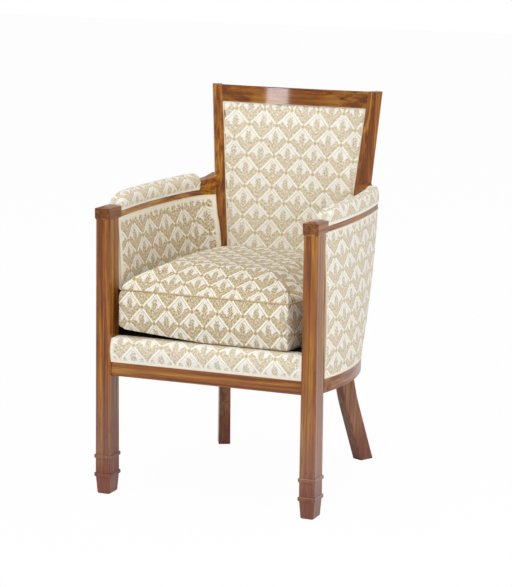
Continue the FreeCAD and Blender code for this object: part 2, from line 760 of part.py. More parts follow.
def seat_frame(low, thick, inset):
    """Slab over the seat frame, a little inside its outer faces and clear of the posts."""
    right = [lift(point, low) for point in edge_points(outer_seat_line(), -inset, 0, 0)]
    left = [Vector(-point.x, point.y, low) for point in right]
    end = rear_rail_end()
    middle = Vector(0, end.y + REAR_RAIL_HOLLOW - inset, low)
    front_y = FRONT_RAIL_SETBACK + inset
    post_inner = POST_X - POST_WIDTH_LOW / 2
    step = [Vector(post_inner, POST_DEPTH, low), Vector(post_inner, front_y, low)]
    mirror_step = [Vector(-point.x, point.y, low) for point in step]
    wire = Part.Wire([arc(right[0], right[1], right[2]), arc(right[2], right[3], right[4]),
                      arc(right[4], middle, left[4]), arc(left[4], left[3], left[2]),
                      arc(left[2], left[1], left[0]), line(left[0], mirror_step[0]),
                      line(mirror_step[0], mirror_step[1]),
                      line(mirror_step[1], step[1]), line(step[1], step[0]), line(step[0], right[0])])
    return Part.Face(wire).extrude(Vector(0, 0, thick))


def webbing(level, places, lengthwise, stiles):
    """A set of straps over the seat frame, all at one level."""
    room = seat_frame(level, WEB_THICK, TACK_SETBACK + WEB_THICK)
    straps = []
    for place in places:
        size = (WEB_WIDTH, 2 * REACH) if lengthwise else (2 * REACH, WEB_WIDTH)
        corner = (place - WEB_WIDTH / 2, -REACH) if lengthwise else (-REACH, place - WEB_WIDTH / 2)
        strap = Part.makeBox(size[0], size[1], WEB_THICK, Vector(corner[0], corner[1], level))
        straps.append(trimmed(strap.common(room), *stiles))
    return Part.makeCompound(straps)


def strap_places(first, last):
    """Centres of the straps, evenly spread between two edges."""
    step = (last - first) / WEB_COUNT
    return [first + step * (index + 0.5) for index in range(WEB_COUNT)]


def deck(low, high, neighbours):
    """Slab of the seat platform between the inside arms, behind the front border."""
    wire = seat_outline(low, SOFT_GAP, FRONT_RAIL_BACK + SOFT_GAP, SOFT_GAP)
    return trimmed(Part.Face(wire).extrude(Vector(0, 0, high - low)), *neighbours)


def front_block(post, front, side):
    """Three-cornered block glued into the front corner of the seat frame."""
    low = RAIL_BOTTOM + BLOCK_RISE
    y = FRONT_RAIL_BACK
    corner = POST_X + POST_WIDTH_LOW / 2 - TACK_SETBACK
    points = [Vector(POST_X - BLOCK_LEG, y, low), Vector(corner, y, low),
              Vector(corner, y + BLOCK_LEG, low)]
    return trimmed(prism(points, Vector(0, 0, BLOCK_TALL)), post, front, side)


def rear_block(stile, rear, side):
    """Block across the inner face of the rear post, from the side rail to the rear rail."""
    low = RAIL_BOTTOM + BLOCK_RISE
    middle = (stile_outer(low) + stile_inner(low)) / 2
    face = stile_front(low) + BLOCK_RISE
    narrow = BLOCK_LEG / 2
    places = [(-BLOCK_LEG, narrow), (-narrow, -narrow), (narrow, -narrow), (BLOCK_LEG, narrow)]
    points = [canted(middle + across, face + along, low) for across, along in places]
    return trimmed(prism(points, Vector(0, 0, BLOCK_TALL)), stile, rear, side)


# Joints: a tenon on each rail's end and its mortise in the post or cap

def tenon(middle, direction, tall, grow=0.0):
    """Upright tongue that starts inside a rail and ends inside a post."""
    long = BURIED + TENON_LONG + grow
    thick = TENON_THICK + 2 * grow
    box = Part.makeBox(long, thick, tall + 2 * grow, Vector(-BURIED, -thick / 2, -tall / 2 - grow))
    box.rotate(Vector(0, 0, 0), Vector(0, 0, 1), math.degrees(math.atan2(direction.y, direction.x)))
    box.translate(middle)
    return box


def seat_tenons():
    """Middle, direction and height of the seat rails' right-hand tenons, with rail and post."""
    z = (RAIL_BOTTOM + RAIL_TOP) / 2
    tall = RAIL_TALL - 2 * TENON_SHOULDER
    front_y = FRONT_RAIL_SETBACK + FRONT_RAIL_THICK * TENON_IN_FRONT_RAIL
    side_x = POST_X + POST_WIDTH_LOW / 2 - RAIL_THICK * TENON_IN_SIDE_RAIL
    stile_y = stile_front(z) + stile_deep(z) * TENON_IN_STILE
    front = Vector(POST_X - post_width(z) / 2, front_y, z)
    side = Vector(side_x, POST_DEPTH, z)
    side_rear = canted(stile_outer(z), stile_y, z)
    rear = canted(stile_inner(z), stile_y + TENON_THICK, z)
    return [(front, Vector(1, 0, 0), tall, "front_seat_rail", "front_post"),
            (side, Vector(0, -1, 0), tall, "side_seat_rail", "front_post"),
            (side_rear, canted(-1, 0), tall, "side_seat_rail", "rear_post"),
            (rear, canted(1, 0), tall, "rear_seat_rail", "rear_post")]


def back_tenons():
    """The same for the two rails between the back stiles."""
    crest_z = HEIGHT - CREST_TALL / 2
    low_z = LOW_RAIL_Z + LOW_RAIL_TALL / 2
    low_depth = LOW_RAIL_FRONT + LOW_RAIL_THICK / 2
    crest = canted(stile_inner(crest_z), stile_front(crest_z) + CREST_THICK / 2, crest_z)
    low = canted(stile_inner(low_z), stile_front(low_z) + low_depth, low_z)
    return [(crest, canted(1, 0), CREST_TALL - TENON_SHOULDER, "crest_rail", "rear_post"),
            (low, canted(1, 0), LOW_RAIL_TALL - TENON_SHOULDER, "low_back_rail", "rear_post")]


def arm_tenons():
    """The same for the arm, from its cap to the stile."""
    front = Vector(arm_line()[0].x, POST_DEPTH + CAP_BACK_LIP, ARM_Z + ARM_TALL / 2)
    rear_z = ARM_Z + RISER_LOW / 2
    rear = canted(stile_outer(rear_z), stile_front(rear_z) + stile_deep(rear_z) / 2, rear_z)
    return [(front, Vector(0, -1, 0), TENON_THICK, "arm_rail", "arm_cap"),
            (rear, canted(-1, 0), RISER_LOW - TENON_SHOULDER, "arm_rail", "rear_post")]


def cut_tenons(pieces):
    for middle, direction, tall, rail, post in seat_tenons() + back_tenons() + arm_tenons():
        tongue = tenon(middle, direction, tall)
        if rail in pieces:
            pieces[rail] = fused([pieces[rail], tongue, mirrored(tongue)])
        else:
            pieces[rail + "_right"] = fused([pieces[rail + "_right"], tongue])
        pieces[post + "_right"] = trimmed(pieces[post + "_right"], tenon(middle, direction, tall, FIT))


# The whole chair

def frame_pieces():
    """Timber of the frame: middle pieces, and right-hand ones of each pair."""
    post = front_post()
    cap = post_cap()
    stile = rear_post()
    posts = [post, mirrored(post)]
    stiles = [stile, mirrored(stile)]
    pieces = {"front_post_right": post, "arm_cap_right": cap, "rear_post_right": stile}
    pieces["front_seat_rail"] = front_rail(posts)
    pieces["side_seat_rail_right"] = side_rail(stile)
    pieces["rear_seat_rail"] = rear_rail(stiles)
    pieces["arm_rail_right"] = arm_rail(cap, stile)
    pieces["crest_rail"] = crest_rail(stiles)
    pieces["low_back_rail"] = low_back_rail(stiles)
    side = pieces["side_seat_rail_right"]
    pieces["corner_block_front_right"] = front_block(post, pieces["front_seat_rail"], side)
    pieces["corner_block_rear_right"] = rear_block(stile, pieces["rear_seat_rail"], side)
    return pieces


def soft_pieces(pieces):
    """Webbing, stuffing and covers, fitted to the timber."""
    stile = pieces["rear_post_right"]
    stiles = [stile, mirrored(stile)]
    rear = pieces["rear_seat_rail"]
    inner = POST_X - POST_WIDTH_LOW / 2
    hessian_top = DECK_BOTTOM + HESSIAN_THICK
    inside = inside_arm(stile)
    outside = outside_arm(stile)
    beside_deck = stiles + [inside, mirrored(inside)]
    across = strap_places(POST_DEPTH, rear_rail_end().y - RAIL_THICK)
    lengthwise = strap_places(-inner, inner)
    dust = seat_frame(RAIL_BOTTOM - DUST_THICK, DUST_THICK, TACK_SETBACK)
    return {"webbing_across": webbing(RAIL_TOP, across, False, stiles),
            "webbing_lengthwise": webbing(END_TOP, lengthwise, True, stiles),
            "deck_hessian": deck(DECK_BOTTOM, hessian_top, beside_deck),
            "deck_pad": deck(hessian_top, SEAT_LEVEL, beside_deck),
            "dust_cover": trimmed(dust, *stiles),
            "front_border": front_border(),
            "seat_cushion": seat_cushion(),
            "back_webbing": back_webbing(),
            "inside_back": inside_back(stiles),
            "outside_back": outside_back(stiles, rear),
            "inside_arm_right": inside,
            "stuffing_rail_right": stuffing_rail(stile, inside, outside),
            "outside_arm_right": outside,
            "arm_pad_right": arm_pad()}


def whole_chair():
    """Every node of the chair by name, standing on the origin."""
    pieces = frame_pieces()
    soft = soft_pieces(pieces)
    cut_tenons(pieces)
    pieces.update(soft)
    for name in [name for name in pieces if name.endswith("_right")]:
        pieces[name.replace("_right", "_left")] = mirrored(pieces[name])
    box = FreeCAD.BoundBox()
    for shape in pieces.values():
        box.add(shape.optimalBoundingBox())
    middle = Vector(-box.Center.x, -box.Center.y, -box.ZMin)
    for shape in pieces.values():
        shape.translate(middle)
    return pieces


os.makedirs("parts", exist_ok=True)
for node, shape in sorted(whole_chair().items()):
    shape.exportStep("parts/" + node + ".step")
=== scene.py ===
import bpy
import math
import numpy as np
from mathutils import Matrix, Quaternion, Vector, kdtree


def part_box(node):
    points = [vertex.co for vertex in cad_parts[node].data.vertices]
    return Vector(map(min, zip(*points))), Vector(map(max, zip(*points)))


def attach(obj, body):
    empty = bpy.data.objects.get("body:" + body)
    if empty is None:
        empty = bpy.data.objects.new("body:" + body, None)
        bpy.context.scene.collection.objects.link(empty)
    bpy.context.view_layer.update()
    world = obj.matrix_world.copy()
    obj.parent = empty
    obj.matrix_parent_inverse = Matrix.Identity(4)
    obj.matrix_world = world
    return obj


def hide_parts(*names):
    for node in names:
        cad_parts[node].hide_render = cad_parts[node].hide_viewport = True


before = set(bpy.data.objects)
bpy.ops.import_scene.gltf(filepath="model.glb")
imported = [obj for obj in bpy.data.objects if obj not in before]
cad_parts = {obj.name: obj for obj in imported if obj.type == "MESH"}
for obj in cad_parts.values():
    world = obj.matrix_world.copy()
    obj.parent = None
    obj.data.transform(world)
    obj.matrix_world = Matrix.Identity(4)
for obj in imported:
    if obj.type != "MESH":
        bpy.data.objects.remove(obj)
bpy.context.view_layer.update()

# Bergere chair. The timber keeps its CAD shapes and gets polish and grain. Each upholstered
# solid is replaced by a stuffed piece made from it, and thin welts cover the edges by the wood.

# Sizes in metres
SEAM_HEIGHT = 0.4753          # the sewn seam round the cushion
PAINTED_SHADE_TOP = 0.470            # the inside arms are painted black below this, as shade where the cushion hides them
CELL_WIDE = 0.0685            # one diamond of the fabric, as on the back
CELL_TALL = 0.0735
STRIP_FADE = 0.004            # from the plain strip to the pattern
LEAST_PULL = 0.006            # a cover's edge is pulled to the wood from at least this far
WELT_RADIUS = 0.0013
WELT_STEP = 0.002             # between the points of an edge that a cover is pulled to
DUST_SAG = 0.006

# How the fabric lies on each cover. START is a place along and up where lines of the trellis cross,
# and CLOTH is metres of cloth for each metre of the cover, along and up.
BACK_START = (-0.013, 0.7665)
BORDER_START = (-0.037, 0.353)
CUSHION_START = -0.004
CUSHION_CLOTH = (1.117, 1.05)
LOW_START = 0.40              # outside back and arms
ARM_CLOTH = (0.82, 1.05)

# Stuffing
PRESSURE = 4.0
SIMULATED_FRAMES = 20


# Working by hand

def only(obj):
    """Selects one piece and nothing else."""
    bpy.ops.object.select_all(action="DESELECT")
    obj.select_set(True)
    bpy.context.view_layer.objects.active = obj
    return obj


def merged_copy(node, name):
    """A copy of a CAD solid under a new name, with its loose triangles joined up."""
    obj = bpy.data.objects.new(name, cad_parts[node].data.copy())
    bpy.context.collection.objects.link(obj)
    obj.data.materials.clear()
    only(obj)
    bpy.ops.object.mode_set(mode="EDIT")
    bpy.ops.mesh.select_all(action="SELECT")
    bpy.ops.mesh.remove_doubles(threshold=0.00002)
    bpy.ops.object.mode_set(mode="OBJECT")
    return obj


def apply(obj, kind, **settings):
    """Adds a modifier with its settings and applies it."""
    modifier = obj.modifiers.new(kind.lower(), kind)
    for key, value in settings.items():
        setattr(modifier, key, value)
    only(obj)
    bpy.ops.object.modifier_apply(modifier=modifier.name)


def places(obj):
    """The piece's vertex places, one row each."""
    flat = np.empty(len(obj.data.vertices) * 3)
    obj.data.vertices.foreach_get("co", flat)
    return flat.reshape(-1, 3)


def move_to(obj, points):
    """Moves the piece's vertices to the given places."""
    obj.data.vertices.foreach_set("co", np.ascontiguousarray(points).ravel())
    obj.data.update()


def normals(obj):
    """The piece's vertex normals, one row each."""
    flat = np.empty(len(obj.data.vertices) * 3)
    obj.data.vertex_normals.foreach_get("vector", flat)
    return flat.reshape(-1, 3)


def ramp(value, zero, one):
    """0 at one value, 1 at another, even between them and level outside."""
    return np.clip((value - zero) / (one - zero), 0, 1)


def stuffed(node, name, voxel, smaller, cap, held):
    """A pad made from a CAD solid: drawn in by smaller, then blown up by cloth simulation, no vertex
    further than cap. Held vertices stay where they are. A cap of 0 means no simulation."""
    obj = merged_copy(node, name)
    apply(obj, "REMESH", mode="VOXEL", voxel_size=voxel)
    points = places(obj)
    facing = normals(obj)
    fixed = held(points, facing)
    points[~fixed] -= facing[~fixed] * smaller
    move_to(obj, points)
    if cap:
        group = obj.vertex_groups.new(name="held")
        group.add([int(i) for i in np.flatnonzero(fixed)], 1.0, "REPLACE")
        bpy.context.scene.frame_set(1)
        cloth = obj.modifiers.new("stuffing", "CLOTH")
        cloth.settings.vertex_group_mass = "held"
        cloth.settings.use_pressure = True
        cloth.settings.uniform_pressure_force = PRESSURE
        cloth.settings.effector_weights.gravity = 0.0
        cloth.point_cache.frame_start = 1
        cloth.point_cache.frame_end = SIMULATED_FRAMES
        for step in range(1, SIMULATED_FRAMES + 1):
            bpy.context.scene.frame_set(step)
        only(obj)
        bpy.ops.object.modifier_apply(modifier=cloth.name)
        moved = places(obj) - points
        far = np.linalg.norm(moved, axis=1, keepdims=True)
        move_to(obj, points + moved * np.minimum(1.0, cap / np.maximum(far, 1e-9)))
        obj.vertex_groups.clear()
    apply(obj, "SUBSURF", levels=1, render_levels=1)
    bpy.ops.object.shade_smooth()
    return obj


def mirrored(obj, name):
    """The left-hand twin of a right-hand piece."""
    twin = bpy.data.objects.new(name, obj.data.copy())
    bpy.context.collection.objects.link(twin)
    twin.scale.x = -1
    only(twin)
    bpy.ops.object.transform_apply(location=False, rotation=False, scale=True)
    bpy.ops.object.mode_set(mode="EDIT")
    bpy.ops.mesh.select_all(action="SELECT")
    bpy.ops.mesh.normals_make_consistent(inside=False)
    bpy.ops.object.mode_set(mode="OBJECT")
    return twin


def lay_cloth(obj, spread):
    """Gives the piece its cloth map: for each corner of a face, metres along and up the cloth.
    spread gets the corners' places and the middle and normal of their faces."""
    mesh = obj.data
    for layer in list(mesh.uv_layers):
        mesh.uv_layers.remove(layer)
    layer = mesh.uv_layers.new(name="cloth")
    corners = np.empty(len(mesh.loops), int)
    mesh.loops.foreach_get("vertex_index", corners)
    sides = np.empty(len(mesh.polygons), int)
    mesh.polygons.foreach_get("loop_total", sides)
    middle = np.empty(len(mesh.polygons) * 3)
    mesh.polygons.foreach_get("center", middle)
    facing = np.empty(len(mesh.polygons) * 3)
    mesh.polygons.foreach_get("normal", facing)
    face = np.repeat(np.arange(len(sides)), sides)
    along, up = spread(places(obj)[corners], middle.reshape(-1, 3)[face], facing.reshape(-1, 3)[face])
    layer.data.foreach_set("uv", np.column_stack([along, up]).ravel())


def mark_plain(obj, share):
    """Marks the plain strip of a cover by a share for each vertex, 1 in the strip and 0 outside it."""
    values = np.clip(share, 0, 1)
    obj.data.attributes.new("plain", "FLOAT", "POINT").data.foreach_set("value", values)


def middle_line(obj, steps):
    """The middle of each of the slices that a piece is cut into from front to back."""
    points = places(obj)
    depth = points[:, 1]
    edges = np.linspace(depth.min(), depth.max(), steps + 1)
    slot = np.clip(np.digitize(depth, edges) - 1, 0, steps - 1)
    return np.array([points[slot == i].mean(axis=0) for i in range(steps)])


def run_along(obj):
    """Length along a curved arm as a function of the place from front to back."""
    line = middle_line(obj, 40)[:, :2]
    length = np.concatenate([[0.0], np.cumsum(np.linalg.norm(np.diff(line, axis=0), axis=1))])
    return lambda place: np.interp(place, line[:, 1], length)


def centre_across(obj):
    """The place across of a curved arm's middle as a function of the place from front to back."""
    line = middle_line(obj, 24)
    return lambda place: np.interp(place, line[:, 1], line[:, 0])


# Materials

def colour(code):
    """A linear colour from an sRGB hex value."""
    parts = [int(code[i:i + 2], 16) / 255 for i in (0, 2, 4)]
    return [c / 12.92 if c <= 0.04045 else ((c + 0.055) / 1.055) ** 2.4 for c in parts] + [1.0]


def add(tree, kind, inputs, **settings):
    """Adds a node with its settings, and links or sets its inputs."""
    node = tree.nodes.new(kind)
    for key, value in settings.items():
        setattr(node, key, value)
    for key, value in inputs.items():
        if isinstance(value, bpy.types.Node):
            value = value.outputs[0]
        if isinstance(value, bpy.types.NodeSocket):
            tree.links.new(value, node.inputs[key])
        else:
            node.inputs[key].default_value = value
    return node


def new_material(name):
    """A material with an empty node tree, and the tree."""
    material = bpy.data.materials.new(name)
    material.use_nodes = True
    material.node_tree.nodes.clear()
    return material, material.node_tree


def finish_with(tree, shader):
    """Links a shader to the material's output."""
    add(tree, "ShaderNodeOutputMaterial", {"Surface": shader})


# Polished mahogany: sawn and planed, then rubbed with polish. The eye gets long darker and lighter
# streaks, short dark pores along the grain and a satin gloss; low on the legs a pinkish reflection of the
# pale floor and darker red shade at the feet are painted in.
def polished_hardwood(name, grain, stain=0.0):
    """Grain runs along one axis. Stain is how far the wood is darkened. Streaks are 9 mm wide and
    400 mm long, pores 1.6 mm by 40 mm, coarser than real pores so that they show."""
    material, tree = new_material(name)
    spot = add(tree, "ShaderNodeTexCoord", {}).outputs["Object"]
    streak_scale = [1 / 0.009] * 3
    pore_scale = [1 / 0.0016] * 3
    streak_scale[grain] = 1 / 0.4
    pore_scale[grain] = 1 / 0.04
    streak_place = add(tree, "ShaderNodeMapping", {"Vector": spot, "Scale": streak_scale})
    pore_place = add(tree, "ShaderNodeMapping", {"Vector": spot, "Scale": pore_scale})
    streak = add(tree, "ShaderNodeTexNoise", {"Vector": streak_place, "Scale": 1.0, "Detail": 5.0,
                                              "Roughness": 0.6, "Distortion": 0.6})
    pore = add(tree, "ShaderNodeTexNoise", {"Vector": pore_place, "Scale": 1.0, "Detail": 2.0})
    wood = add(tree, "ShaderNodeValToRGB", {"Fac": streak})
    stops = wood.color_ramp.elements
    stops[0].position = 0.36
    stops[0].color = colour("5A2C0E")
    stops[1].position = 0.66
    stops[1].color = colour("BC8832")
    middle = stops.new(0.5)
    middle.color = colour("96561A")
    # Painted light near the floor: a pinkish reflection of the pale floor on the lower legs, and darker
    # red shade at the feet
    height = add(tree, "ShaderNodeSeparateXYZ", {"Vector": spot}).outputs["Z"]
    low = add(tree, "ShaderNodeMapRange", {"Value": height, "From Min": 0.10, "From Max": 0.34,
                                           "To Min": 0.5, "To Max": 0.0}, interpolation_type="SMOOTHSTEP")
    slow = add(tree, "ShaderNodeTexNoise", {"Vector": spot, "Scale": 1 / 0.11, "Detail": 1.0})
    warm = add(tree, "ShaderNodeMapRange", {"Value": slow, "From Min": 0.45, "From Max": 0.65,
                                            "To Min": 0.0, "To Max": 0.45})
    ruddy = add(tree, "ShaderNodeMixRGB", {"Fac": warm, "Color1": wood, "Color2": colour("7C4220")})
    stained = add(tree, "ShaderNodeMixRGB", {"Fac": stain, "Color1": ruddy, "Color2": colour("55240F")})
    floor_reflected = add(tree, "ShaderNodeMixRGB", {"Fac": low, "Color1": stained, "Color2": colour("88625C")})
    foot_shade = add(tree, "ShaderNodeMapRange", {"Value": height, "From Min": 0.05, "From Max": 0.10,
                                            "To Min": 0.5, "To Max": 0.0})
    foot_shaded = add(tree, "ShaderNodeMixRGB", {"Fac": foot_shade, "Color1": floor_reflected, "Color2": colour("6E2C24")})
    dark = add(tree, "ShaderNodeMapRange", {"Value": pore, "From Min": 0.56, "From Max": 0.72,
                                            "To Min": 0.0, "To Max": 0.55})
    pored = add(tree, "ShaderNodeMixRGB", {"Fac": dark, "Color1": foot_shaded, "Color2": colour("3A1C0E")})
    normal = add(tree, "ShaderNodeTexCoord", {}).outputs["Normal"]
    along = add(tree, "ShaderNodeSeparateXYZ", {"Vector": normal}).outputs[grain]
    facing = add(tree, "ShaderNodeMath", {0: along}, operation="ABSOLUTE")
    end_grain = add(tree, "ShaderNodeMapRange", {"Value": facing, "From Min": 0.9, "From Max": 0.97,
                                                 "To Min": 0.0, "To Max": 0.55})
    ended = add(tree, "ShaderNodeMixRGB", {"Fac": end_grain, "Color1": pored, "Color2": colour("4E2418")})
    gloss = add(tree, "ShaderNodeMapRange", {"Value": streak, "To Min": 0.26, "To Max": 0.42})
    bump = add(tree, "ShaderNodeBump", {"Height": pore, "Strength": 0.12, "Distance": 0.0004})
    finish_with(tree, add(tree, "ShaderNodeBsdfPrincipled", {
        "Base Color": ended, "Roughness": gloss, "Normal": bump, "IOR": 1.5,
        "Specular IOR Level": 0.3, "Specular Tint": colour("C89048"),
        "Coat Weight": 0.75, "Coat Roughness": 0.08}))
    return material


# Beech left raw: pale planed wood inside the seat, with short brown flecks along the grain.
def raw_beech():
    """Flecks are 30 mm long and 4 mm wide."""
    material, tree = new_material("raw_beech")
    spot = add(tree, "ShaderNodeTexCoord", {}).outputs["Object"]
    place = add(tree, "ShaderNodeMapping", {"Vector": spot, "Scale": (1 / 0.03, 1 / 0.004, 1 / 0.004)})
    fleck = add(tree, "ShaderNodeTexNoise", {"Vector": place, "Scale": 1.0, "Detail": 4.0})
    wood = add(tree, "ShaderNodeValToRGB", {"Fac": fleck})
    wood.color_ramp.elements[0].color = colour("A87C52")
    wood.color_ramp.elements[1].color = colour("DDBB8E")
    bump = add(tree, "ShaderNodeBump", {"Height": fleck, "Strength": 0.2, "Distance": 0.0004})
    finish_with(tree, add(tree, "ShaderNodeBsdfPrincipled", {
        "Base Color": wood, "Roughness": 0.65, "Normal": bump}))
    return material


# Jacquard upholstery: cotton woven in two colours. The eye gets a diamond trellis in cream, and in
# each diamond a white ground with an upright sprig of three tan leaves, all broken up by threads.
def jacquard(name, shade_and_soil):
    """Reads the cloth map, in metres. One diamond is CELL_WIDE by CELL_TALL. Threads are drawn 4 to
    5 mm apart, coarser than real ones so that they show. shade_and_soil is how far the figure is darkened:
    painted shade, and on the seat partly soiling from use."""
    material, tree = new_material(name)
    cloth = add(tree, "ShaderNodeUVMap", {}, uv_map="cloth")
    rise = add(tree, "ShaderNodeVectorMath", {0: cloth, 1: (1 / CELL_WIDE, 1 / CELL_TALL, 0)},
               operation="DOT_PRODUCT").outputs["Value"]
    fall = add(tree, "ShaderNodeVectorMath", {0: cloth, 1: (-1 / CELL_WIDE, 1 / CELL_TALL, 0)},
               operation="DOT_PRODUCT").outputs["Value"]
    # Each diamond is a unit square on its corner: right and left are the shares along its two sides
    right = add(tree, "ShaderNodeMath", {0: rise}, operation="FRACT")
    left = add(tree, "ShaderNodeMath", {0: fall}, operation="FRACT")
    near = add(tree, "ShaderNodeMath", {0: right, 1: left}, operation="MINIMUM")
    far = add(tree, "ShaderNodeMath", {0: right, 1: left}, operation="MAXIMUM")
    aside = add(tree, "ShaderNodeMath", {0: far, 1: near}, operation="SUBTRACT")
    above = add(tree, "ShaderNodeMath", {0: far, 1: near}, operation="ADD")
    # Threads and the unevenness of the yarn
    thread = add(tree, "ShaderNodeMapping", {"Vector": cloth, "Scale": (1 / 0.0042, 1 / 0.0050, 1.0)})
    yarn = add(tree, "ShaderNodeTexNoise", {"Vector": thread, "Scale": 1.0, "Detail": 2.0,
                                            "Roughness": 0.7})
    jitter = add(tree, "ShaderNodeMath", {0: yarn, 1: 2.2, 2: -1.1}, operation="MULTIPLY_ADD")
    # Side leaves: two broad curved leaves along the diamond's lower sides
    length = add(tree, "ShaderNodeMath", {0: far, 1: 0.54}, operation="SUBTRACT")
    curve = add(tree, "ShaderNodeMath", {0: length, 1: length}, operation="MULTIPLY")
    arched = add(tree, "ShaderNodeMath", {0: curve, 1: 0.06, 2: near}, operation="MULTIPLY_ADD")
    off = add(tree, "ShaderNodeMath", {0: arched, 1: 0.20}, operation="SUBTRACT")
    across = add(tree, "ShaderNodeMath", {0: off}, operation="ABSOLUTE")
    width = add(tree, "ShaderNodeMath", {0: off, 1: off}, operation="MULTIPLY")
    body = add(tree, "ShaderNodeMath", {0: width, 1: -38.0, 2: 1.0}, operation="MULTIPLY_ADD")
    tips = add(tree, "ShaderNodeMath", {0: curve, 1: curve}, operation="MULTIPLY")
    side = add(tree, "ShaderNodeMath", {0: tips, 1: -9.0, 2: body}, operation="MULTIPLY_ADD")
    side_slant = add(tree, "ShaderNodeMath", {0: across, 1: 66.0}, operation="MULTIPLY")
    side_phase = add(tree, "ShaderNodeMath", {0: far, 1: 70.0, 2: side_slant}, operation="MULTIPLY_ADD")
    side_vein = add(tree, "ShaderNodeMath", {0: side_phase}, operation="SINE")
    # Middle leaf: a pointed oval on the diamond's upright axis
    rise_off = add(tree, "ShaderNodeMath", {0: above, 1: 0.5, 2: -0.56}, operation="MULTIPLY_ADD")
    bend = add(tree, "ShaderNodeMath", {0: rise_off, 1: rise_off}, operation="MULTIPLY")
    half = add(tree, "ShaderNodeMath", {0: aside, 1: aside}, operation="MULTIPLY")
    oval = add(tree, "ShaderNodeMath", {0: half, 1: -18.0, 2: 1.0}, operation="MULTIPLY_ADD")
    upright = add(tree, "ShaderNodeMath", {0: bend, 1: -13.0, 2: oval}, operation="MULTIPLY_ADD")
    up_slant = add(tree, "ShaderNodeMath", {0: aside, 1: -36.0}, operation="MULTIPLY")
    up_phase = add(tree, "ShaderNodeMath", {0: above, 1: 36.0, 2: up_slant}, operation="MULTIPLY_ADD")
    up_vein = add(tree, "ShaderNodeMath", {0: up_phase}, operation="SINE")
    # The sprig's outline, its veins and the pale rib of each leaf
    wins = add(tree, "ShaderNodeMath", {0: side, 1: upright}, operation="GREATER_THAN")
    vein = add(tree, "ShaderNodeMixRGB", {"Fac": wins, "Color1": up_vein, "Color2": side_vein})
    to_rib = add(tree, "ShaderNodeMixRGB", {"Fac": wins, "Color1": aside, "Color2": across})
    sprig = add(tree, "ShaderNodeMath", {0: side, 1: upright}, operation="MAXIMUM")
    ragged = add(tree, "ShaderNodeMath", {0: vein, 1: 0.16, 2: sprig}, operation="MULTIPLY_ADD")
    edge = add(tree, "ShaderNodeMath", {0: ragged, 1: jitter}, operation="ADD")
    leaf = add(tree, "ShaderNodeMapRange", {"Value": edge, "From Min": -0.2, "From Max": 0.8},
               interpolation_type="SMOOTHSTEP")
    veins = add(tree, "ShaderNodeMath", {0: vein, 1: 0.26, 2: jitter}, operation="MULTIPLY_ADD")
    shade = add(tree, "ShaderNodeMapRange", {"Value": veins, "From Min": -0.8, "From Max": 0.8},
                interpolation_type="SMOOTHSTEP")
    tan = add(tree, "ShaderNodeMixRGB", {"Fac": shade, "Color1": colour("EFE6D1"),
                                         "Color2": colour("AF996C")})
    rib = add(tree, "ShaderNodeMapRange", {"Value": to_rib, "From Min": 0.008, "From Max": 0.03,
                                           "To Min": 0.5, "To Max": 0.0})
    ribbed = add(tree, "ShaderNodeMixRGB", {"Fac": rib, "Color1": tan, "Color2": colour("EEE5D0")})
    ground = add(tree, "ShaderNodeMixRGB", {"Fac": yarn, "Color1": colour("FAF9F7"),
                                            "Color2": colour("E6E2D8")})
    figured = add(tree, "ShaderNodeMixRGB", {"Fac": leaf, "Color1": ground, "Color2": ribbed})
    # Trellis: a cream line between two thin tan ones, and a darker knot where they cross
    to_rise = add(tree, "ShaderNodeMath", {0: rise, 1: 0.5}, operation="PINGPONG")
    to_fall = add(tree, "ShaderNodeMath", {0: fall, 1: 0.5}, operation="PINGPONG")
    to_line = add(tree, "ShaderNodeMath", {0: to_rise, 1: to_fall}, operation="MINIMUM")
    outline = add(tree, "ShaderNodeMapRange", {"Value": to_line, "From Min": 0.065, "From Max": 0.09,
                                               "To Min": 0.6, "To Max": 0.0})
    outlined = add(tree, "ShaderNodeMixRGB", {"Fac": outline, "Color1": figured, "Color2": ribbed})
    line = add(tree, "ShaderNodeMapRange", {"Value": to_line, "From Min": 0.03, "From Max": 0.045,
                                            "To Min": 0.95, "To Max": 0.0})
    trellis = add(tree, "ShaderNodeMixRGB", {"Fac": line, "Color1": outlined, "Color2": colour("F9F6EC")})
    to_knot = add(tree, "ShaderNodeMath", {0: to_rise, 1: to_fall}, operation="ADD")
    knot = add(tree, "ShaderNodeMapRange", {"Value": to_knot, "From Min": 0.07, "From Max": 0.13,
                                            "To Min": 0.8, "To Max": 0.0})
    knotted = add(tree, "ShaderNodeMixRGB", {"Fac": knot, "Color1": trellis, "Color2": colour("BCA46E")})
    # The plain strip at the cover's edges, and painted shade that darkens the figure, on the seat partly
    # soiling
    margin = add(tree, "ShaderNodeAttribute", {}, attribute_name="plain").outputs["Fac"]
    edged = add(tree, "ShaderNodeMixRGB", {"Fac": margin, "Color1": knotted, "Color2": colour("F4EFE3")})
    shaded_and_soiled = add(tree, "ShaderNodeGamma", {"Color": edged, "Gamma": 1.0 + shade_and_soil})
    relief = add(tree, "ShaderNodeMath", {0: leaf, 1: 0.5, 2: yarn}, operation="MULTIPLY_ADD")
    bump = add(tree, "ShaderNodeBump", {"Height": relief, "Strength": 0.35, "Distance": 0.0008})
    finish_with(tree, add(tree, "ShaderNodeBsdfPrincipled", {
        "Base Color": shaded_and_soiled, "Roughness": 0.88, "Normal": bump, "Specular IOR Level": 0.25,
        "Sheen Weight": 0.15, "Sheen Roughness": 0.5}))
    return material
